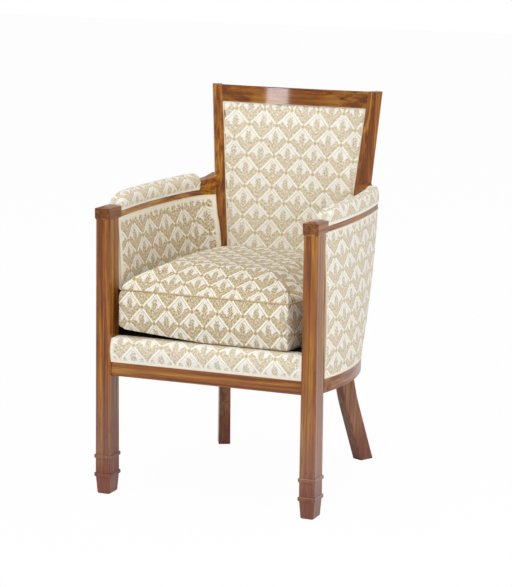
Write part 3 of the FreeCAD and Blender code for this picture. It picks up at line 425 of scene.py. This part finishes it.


# Plain woven cloths differ in colour and thread: jute webbing is coarse and brown, hessian is
# sandy, the cords are cream or tan and fine, and the black, dull cloth is the dust cover's lining and
# painted shade on the platform and the lower inside arms.
def plain_weave(name, dark, light, thread):
    """Two waves crossed, with one band for each thread, and fuzz over them."""
    material, tree = new_material(name)
    one_band = 0.314    # the wave texture's scale for one band in each unit
    spot = add(tree, "ShaderNodeTexCoord", {}).outputs["Object"]
    place = add(tree, "ShaderNodeMapping", {"Vector": spot, "Scale": (1 / thread, 1 / thread, 1 / thread)})
    over = add(tree, "ShaderNodeTexWave", {"Vector": place, "Scale": one_band, "Distortion": 1.0,
                                           "Detail Scale": 2.0}, bands_direction="X")
    under = add(tree, "ShaderNodeTexWave", {"Vector": place, "Scale": one_band, "Distortion": 1.0,
                                            "Detail Scale": 2.0}, bands_direction="Y")
    fuzz = add(tree, "ShaderNodeTexNoise", {"Vector": place, "Scale": 0.7, "Detail": 3.0})
    weave = add(tree, "ShaderNodeMixRGB", {"Fac": 0.5, "Color1": over, "Color2": under})
    mixed = add(tree, "ShaderNodeMixRGB", {"Fac": 0.4, "Color1": weave, "Color2": fuzz})
    tone = add(tree, "ShaderNodeMixRGB", {"Fac": mixed, "Color1": colour(dark), "Color2": colour(light)})
    bump = add(tree, "ShaderNodeBump", {"Height": mixed, "Strength": 0.4, "Distance": thread / 3})
    finish_with(tree, add(tree, "ShaderNodeBsdfPrincipled", {
        "Base Color": tone, "Roughness": 0.9, "Normal": bump, "Specular IOR Level": 0.2}))
    return material


UPRIGHT = polished_hardwood("polished_mahogany_upright", 2)
ACROSS = polished_hardwood("polished_mahogany_across", 0)
LENGTHWISE = polished_hardwood("polished_mahogany_lengthwise", 1)
CREST = polished_hardwood("polished_mahogany_crest", 0, 0.3)
BEECH = raw_beech()
FABRIC = jacquard("jacquard_cotton", 0.0)
# The seat's and the inside arms' cloth is darkened as painted shade, on the seat partly for soiling
SEAT_FABRIC = jacquard("jacquard_cotton_seat", 0.56)
ARM_FABRIC = jacquard("jacquard_cotton_arm", 0.4)
WELT = plain_weave("cotton_welt_cord", "D9C8A4", "F6EDDA", 0.0025)
SEAM = plain_weave("cotton_seam_cord", "BFA87C", "E0D0AC", 0.002)
JUTE = plain_weave("jute_webbing", "6B5431", "B0925F", 0.003)
HESSIAN = plain_weave("jute_hessian", "8A7047", "C4A876", 0.002)
# Black cloth: the dust cover's real lining, and painted shade on the platform and the lower inside arms
LINING_AND_SHADE = plain_weave("black_cotton_lining_and_painted_shade", "0C0C0C", "262524", 0.0015)


def coat(obj, material):
    """Gives a piece one material."""
    obj.data.materials.clear()
    obj.data.materials.append(material)


def paint_shade_below(obj, height):
    """Paints a cover black below a height, as painted shade where the cushion hides it."""
    obj.data.materials.append(LINING_AND_SHADE)
    for face in obj.data.polygons:
        face.material_index = int(face.center.z < height)


# Finish of the CAD nodes whose names start so
NODE_FINISH = {
    "front_post": UPRIGHT, "rear_post": UPRIGHT,
    "arm_cap": LENGTHWISE, "arm_rail": LENGTHWISE, "side_seat_rail": LENGTHWISE,
    "front_seat_rail": ACROSS, "rear_seat_rail": ACROSS, "crest_rail": CREST,
    "low_back_rail": BEECH, "stuffing_rail": BEECH, "corner_block": BEECH,
    "webbing": JUTE, "back_webbing": JUTE, "deck_hessian": HESSIAN}

for node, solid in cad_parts.items():
    for start, material in NODE_FINISH.items():
        if node.startswith(start):
            coat(solid, material)


# Stuffed pieces

COVERS = {}


def dress(obj, node, body, material=FABRIC):
    """Finishes a stuffed piece: its cover, the node it replaces and its body."""
    COVERS[node] = obj
    coat(obj, material)
    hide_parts(node)
    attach(obj, body)


def drawn_in(points):
    """The cushion's points pushed a little to the left at its front: the right corner is drawn in
    by 22 mm, clear of the post, and the left one comes 7 mm closer to its post."""
    low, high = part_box("seat_cushion")
    x, y = points[:, 0], points[:, 1]
    right = ramp(x, high.x - 0.10, high.x) ** 2 * ramp(y, low.y + 0.08, low.y)
    left = ramp(x, low.x + 0.06, low.x) * ramp(y, low.y + 0.12, low.y + 0.02)
    drawn = points.copy()
    drawn[:, 0] -= 0.022 * right + 0.007 * left
    return drawn


def seat_cushion():
    """Loose cushion: flat where it rests, held at the sewn seam round it, full between."""
    low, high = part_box("seat_cushion")
    held_band = 0.004
    seam_half, seam_depth = 0.005, 0.002
    lift = 0.015

    def held(points, facing):
        resting = (points[:, 2] < low.z + held_band) & (facing[:, 2] < -0.8)
        return resting | (np.abs(points[:, 2] - SEAM_HEIGHT) < held_band)

    obj = stuffed("seat_cushion", "cushion_cover", voxel=0.005, smaller=0.001, cap=0.009, held=held)
    points = places(obj)
    # The seam is sewn in
    closeness = np.clip(1 - ((points[:, 2] - SEAM_HEIGHT) / seam_half) ** 2, 0, 1)
    points -= normals(obj) * closeness[:, None] * seam_depth
    # The front left corner stands a little clear of the border
    x, y, z = points.T
    corner_share = ramp(x, -0.02, -0.21) * ramp(y, low.y + 0.07, low.y + 0.02)
    points[:, 2] += lift * corner_share * ramp(z, low.z + 0.045, low.z + 0.005)
    move_to(obj, drawn_in(points))

    def spread(corner, middle, facing):
        on_top = (middle[:, 2] > SEAM_HEIGHT) & (facing[:, 2] > -0.2)
        sideways = np.abs(facing[:, 0]) > np.abs(facing[:, 1])
        side_run = np.sign(corner[:, 0]) * (high.x + corner[:, 1] - low.y)
        along = np.where(on_top | ~sideways, corner[:, 0], side_run) - CUSHION_START
        back = corner[:, 1] - low.y + 0.5 * (corner[:, 2] - SEAM_HEIGHT)
        up = np.where(on_top, back, corner[:, 2] - SEAM_HEIGHT)
        half_over = np.where(on_top, CELL_WIDE / 2, 0)
        return along * CUSHION_CLOTH[0] + half_over, up * CUSHION_CLOTH[1]

    lay_cloth(obj, spread)
    dress(obj, "seat_cushion", "cushion", material=SEAT_FABRIC)


def inside_back():
    """Hollow back pad, held along the stiles and at its hidden face."""
    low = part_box("inside_back")[0]

    def held(points, facing):
        return (facing[:, 1] > -0.35) | (points[:, 2] < low.z + 0.01)

    obj = stuffed("inside_back", "inside_back_pad", voxel=0.005, smaller=0.001, cap=0.007, held=held)
    lay_cloth(obj, lambda corner, middle, facing: (corner[:, 0] - BACK_START[0],
                                                   corner[:, 2] - BACK_START[1]))
    dress(obj, "inside_back", "frame")


def outside_back():
    """Outside of the back: a flat panel, not stuffed."""
    def held(points, facing):
        return facing[:, 1] < 0.5

    obj = stuffed("outside_back", "outside_back_panel", voxel=0.005, smaller=0.0, cap=0.0, held=held)
    lay_cloth(obj, lambda corner, middle, facing: (corner[:, 0], corner[:, 2] - LOW_START))
    dress(obj, "outside_back", "frame")


def arm_wall(which, outward, cap, material=FABRIC):
    """Inside or outside of the right arm, held at its hidden face and along its edges, and its
    left-hand twin."""
    node = which + "_arm_right"

    def held(points, facing):
        return facing[:, 0] * outward < 0.25

    obj = stuffed(node, which + "_arm_pad_right", voxel=0.0035, smaller=cap / 6, cap=cap, held=held)
    run = run_along(obj)
    lay_cloth(obj, lambda corner, middle, facing: (run(corner[:, 1]) * ARM_CLOTH[0],
                                                   (corner[:, 2] - LOW_START) * ARM_CLOTH[1]))
    twin = mirrored(obj, which + "_arm_pad_left")
    dress(obj, node, "frame", material=material)
    dress(twin, which + "_arm_left", "frame", material=material)


def arm_pads():
    """Padded arm tops, held where they sit on the arm. The cloth goes up one side, over the top and
    down the other, with a plain strip at the bottom."""
    low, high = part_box("arm_pad_right")
    held_band = 0.004
    strip = 0.010
    first_diamond = 0.025

    def held(points, facing):
        return points[:, 2] < low.z + held_band

    obj = stuffed("arm_pad_right", "arm_top_pad_right", voxel=0.004, smaller=0.003, cap=0.007, held=held)
    run = run_along(obj)
    centre = centre_across(obj)

    def spread(corner, middle, facing):
        over = (corner[:, 0] - centre(corner[:, 1])) * 0.9
        height = np.where(over > 0, 2 * high.z - corner[:, 2], corner[:, 2])
        up = height + over - low.z - first_diamond
        return run(corner[:, 1]) * ARM_CLOTH[0], up * ARM_CLOTH[1]

    lay_cloth(obj, spread)
    mark_plain(obj, (low.z + strip - places(obj)[:, 2]) / STRIP_FADE)
    twin = mirrored(obj, "arm_top_pad_left")
    dress(obj, "arm_pad_right", "frame")
    dress(twin, "arm_pad_left", "frame")


def front_border():
    """Padded border over the front rail. The cloth goes up its face and over its top."""
    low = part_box("front_border")[0]
    thickness = 0.006

    def held(points, facing):
        return facing[:, 1] > -0.2

    obj = stuffed("front_border", "front_border_pad", voxel=0.004, smaller=0.001, cap=0.005, held=held)

    def spread(corner, middle, facing):
        over = np.maximum(corner[:, 1] - low.y - thickness, 0)
        return corner[:, 0] - BORDER_START[0], corner[:, 2] + over - BORDER_START[1]

    lay_cloth(obj, spread)
    dress(obj, "front_border", "frame")


def platform():
    """Platform under the cushion, covered in the black cloth as painted shade where it shows beside the
    cushion.
    """
    def held(points, facing):
        return facing[:, 2] < 0.5

    obj = stuffed("deck_pad", "seat_platform", voxel=0.005, smaller=0.0, cap=0.0, held=held)
    dress(obj, "deck_pad", "frame", material=LINING_AND_SHADE)


def dust_cover():
    """Black lining tacked under the seat, sagging a little in its middle."""
    obj = merged_copy("dust_cover", "dust_cover_cloth")
    bpy.ops.object.mode_set(mode="EDIT")
    bpy.ops.mesh.select_mode(type="FACE")
    bpy.ops.mesh.select_all(action="DESELECT")
    bpy.ops.object.mode_set(mode="OBJECT")
    for face in obj.data.polygons:
        face.select = face.normal.z > -0.5
    bpy.ops.object.mode_set(mode="EDIT")
    bpy.ops.mesh.delete(type="FACE")
    bpy.ops.mesh.select_all(action="SELECT")
    bpy.ops.mesh.dissolve_limited()
    low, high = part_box("dust_cover")
    first_cut, cut_step = 0.03, 0.04
    for axis, normal in ((0, (1, 0, 0)), (1, (0, 1, 0))):
        for place in np.arange(low[axis] + first_cut, high[axis], cut_step):
            spot = [0, 0, 0]
            spot[axis] = place
            bpy.ops.mesh.select_all(action="SELECT")
            bpy.ops.mesh.bisect(plane_co=spot, plane_no=normal)
    bpy.ops.object.mode_set(mode="OBJECT")
    half_wide, half_deep, middle = 0.24, 0.22, -0.03
    points = places(obj)
    across = 1 - np.clip(np.abs(points[:, 0]) / half_wide, 0, 1) ** 2
    along = 1 - np.clip(np.abs(points[:, 1] - middle) / half_deep, 0, 1) ** 2
    points[:, 2] -= DUST_SAG * across * along
    move_to(obj, points)
    apply(obj, "SUBSURF", levels=1, render_levels=1)
    bpy.ops.object.shade_smooth()
    coat(obj, LINING_AND_SHADE)
    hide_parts("dust_cover")
    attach(obj, "frame")


# Welts

def plain_margin(obj, route, width):
    """Pulls a cover out to the edge it is tacked to, and marks the plain strip beside that edge."""
    tree = kdtree.KDTree(len(route))
    for index, spot in enumerate(route):
        tree.insert(spot, index)
    tree.balance()
    reach = max(LEAST_PULL, 1.4 * width)
    share = []
    for vertex in obj.data.vertices:
        spot, index, far = tree.find(vertex.co)
        pull = min(1.0, max(0.0, 1.2 - far / reach))
        vertex.co = vertex.co.lerp(spot, pull)
        share.append((width - (vertex.co - spot).length) / STRIP_FADE)
    mark_plain(obj, share)


def welt(node, name, width, along, body="frame", sharp=35, cloth=WELT):
    """Cord along the edges of a CAD solid that are sharper than an angle and that a test accepts.
    Where a width is given, the cover is pulled out to the cord, with a plain strip beside it."""
    obj = merged_copy(node, name)
    bpy.ops.object.mode_set(mode="EDIT")
    bpy.ops.mesh.select_mode(type="EDGE")
    bpy.ops.mesh.select_all(action="DESELECT")
    bpy.ops.mesh.edges_select_sharp(sharpness=math.radians(sharp))
    bpy.ops.object.mode_set(mode="OBJECT")
    mesh = obj.data
    beside = {}
    for face in mesh.polygons:
        for key in face.edge_keys:
            beside.setdefault(key, []).append(face.normal)
    for vertex in mesh.vertices:
        vertex.select = False
    route = []
    for edge in mesh.edges:
        a, b = (mesh.vertices[i].co for i in edge.vertices)
        edge.select = edge.select and along((a + b) / 2, beside.get(edge.key, []))
        if edge.select:
            steps = math.ceil((b - a).length / WELT_STEP)
            route += [a.lerp(b, step / steps) for step in range(steps + 1)]
    if width:
        plain_margin(COVERS[node], route, width)
    bpy.ops.object.mode_set(mode="EDIT")
    bpy.ops.mesh.select_all(action="INVERT")
    bpy.ops.mesh.delete(type="EDGE_FACE")
    bpy.ops.mesh.select_all(action="SELECT")
    bpy.ops.mesh.delete_loose(use_verts=True, use_edges=False, use_faces=False)
    bpy.ops.object.mode_set(mode="OBJECT")
    only(obj)
    bpy.ops.object.convert(target="CURVE")
    obj.data.bevel_depth = WELT_RADIUS
    obj.data.bevel_resolution = 2
    bpy.ops.object.convert(target="MESH")
    bpy.ops.object.shade_smooth()
    coat(obj, cloth)
    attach(obj, body)
    return obj


def faces_towards(beside, axis, sign, least):
    """True where a face beside the edge looks along an axis, for at least a share of its normal."""
    return any(normal[axis] * sign > least for normal in beside)


def seen_inside(beside, sign):
    """True beside the arm's inner face, and not beside the faces hidden against the stile."""
    return any(normal.x * sign < -CURVED and normal.y < 0.2 for normal in beside)


FLAT, CURVED = 0.6, 0.35          # least share of a cover's normal, if it is nearly flat or curved
BACK_WELT_FROM = 0.40             # the cushion hides the inside back's edge below
BORDER_FRONT = -0.265             # the front edges of the border lie before this


def welts():
    """Cords along the edges where the covers meet the wood, and the cushion's seam."""
    welt("inside_back", "welt_inside_back", 0.004,
         lambda spot, beside: faces_towards(beside, 1, -1, FLAT) and spot.z > BACK_WELT_FROM)
    welt("outside_back", "welt_outside_back", 0.004,
         lambda spot, beside: faces_towards(beside, 1, 1, FLAT))
    for side, sign in (("right", 1), ("left", -1)):
        welt("inside_arm_" + side, "welt_inside_arm_" + side, 0.013,
             lambda spot, beside: seen_inside(beside, sign) and spot.z > PAINTED_SHADE_TOP)
        welt("outside_arm_" + side, "welt_outside_arm_" + side, 0.006,
             lambda spot, beside: faces_towards(beside, 0, sign, CURVED))
    welt("front_border", "welt_front_border", 0.009,
         lambda spot, beside: faces_towards(beside, 1, -1, FLAT) and spot.y < BORDER_FRONT)
    seam = welt("seat_cushion", "seam_cord_cushion", 0.0,
                lambda spot, beside: abs(spot.z - SEAM_HEIGHT) < 0.0003, "cushion", sharp=2, cloth=SEAM)
    move_to(seam, drawn_in(places(seam)))


seat_cushion()
inside_back()
outside_back()
arm_wall("inside", -1, 0.006, ARM_FABRIC)
# The inside arms are painted black low down, as shade beside the cushion
for side in ("left", "right"):
    paint_shade_below(COVERS["inside_arm_" + side], PAINTED_SHADE_TOP)
arm_wall("outside", 1, 0.0)
arm_pads()
front_border()
platform()
dust_cover()
welts()


# Floor, light and camera

WHITE_SHARE = 0.97                # of the floor, to the camera
ROOM = 0.45                       # the white room's strength as light
ROOM_GLOSS = 0.08                 # added where it is mirrored
LAMP_AIM = Vector((0, 0, 0.45))
# Name, place, size in metres and power in watts. The window is mirrored in the crest rail.
LAMPS = (("key", (0.4, -3.6, 2.7), 1.8, 26),
         ("fill", (3.0, -1.2, 1.7), 1.6, 33),
         ("window", (-1.17, -4.55, 1.63), 0.7, 21),
         ("top", (-0.3, -1.0, 3.2), 2.0, 31),
         ("rear", (2.2, 3.4, 2.2), 2.0, 20))
# The photograph's view, fitted to it: place in metres, lens in millimetres, angles in degrees
EYE = (1.9397, -4.7514, 1.3999)
LENS = 137.7
TURN, LOOK_DOWN, ROLL = 22.145, 10.613, 0.71


def floor():
    """Pale floor that is white to the camera and keeps a faint shadow."""
    bpy.ops.object.select_all(action="DESELECT")
    bpy.ops.mesh.primitive_plane_add(size=30)
    plane = bpy.context.object
    plane.name = "floor"
    material, tree = new_material("pale_floor")
    pale = add(tree, "ShaderNodeBsdfDiffuse", {"Color": colour("F7F7F7")})
    white = add(tree, "ShaderNodeEmission", {"Strength": 1.0})
    path = add(tree, "ShaderNodeLightPath", {})
    seen = add(tree, "ShaderNodeMath", {0: path.outputs["Is Camera Ray"], 1: WHITE_SHARE},
               operation="MULTIPLY")
    finish_with(tree, add(tree, "ShaderNodeMixShader", {0: seen, 1: pale, 2: white}))
    coat(plane, material)


def studio():
    """Soft lamps round the chair and an even white room."""
    world = bpy.data.worlds.new("studio")
    world.use_nodes = True
    bpy.context.scene.world = world
    tree = world.node_tree
    tree.nodes.clear()
    path = add(tree, "ShaderNodeLightPath", {})
    mirrored_room = add(tree, "ShaderNodeMath", {0: path.outputs["Is Glossy Ray"], 1: ROOM_GLOSS, 2: ROOM},
                        operation="MULTIPLY_ADD")
    strength = add(tree, "ShaderNodeMath", {0: path.outputs["Is Camera Ray"], 1: 1.0 - ROOM,
                                            2: mirrored_room}, operation="MULTIPLY_ADD")
    sky = add(tree, "ShaderNodeBackground", {"Color": (1, 1, 1, 1), "Strength": strength})
    add(tree, "ShaderNodeOutputWorld", {"Surface": sky})
    for name, place, size, power in LAMPS:
        data = bpy.data.lights.new(name, "AREA")
        data.size = size
        data.energy = power
        lamp = bpy.data.objects.new(name, data)
        bpy.context.collection.objects.link(lamp)
        lamp.location = place
        lamp.rotation_euler = (LAMP_AIM - Vector(place)).to_track_quat("-Z", "Y").to_euler()


def camera():
    """The photograph's view: from the right of the front, a little above."""
    data = bpy.data.cameras.new("photo_view")
    data.sensor_width = 36.0
    data.lens = LENS
    eye = bpy.data.objects.new("photo_view", data)
    bpy.context.collection.objects.link(eye)
    eye.location = EYE
    turn = Quaternion((0, 0, 1), math.radians(TURN))
    tilt = Quaternion((1, 0, 0), math.radians(90 - LOOK_DOWN))
    roll = Quaternion((0, 0, 1), math.radians(ROLL))
    eye.rotation_mode = "QUATERNION"
    eye.rotation_quaternion = turn @ tilt @ roll
    bpy.context.view_layer.update()
    bpy.context.scene.camera = eye


floor()
studio()
camera()
bpy.context.scene.view_settings.view_transform = "Standard"
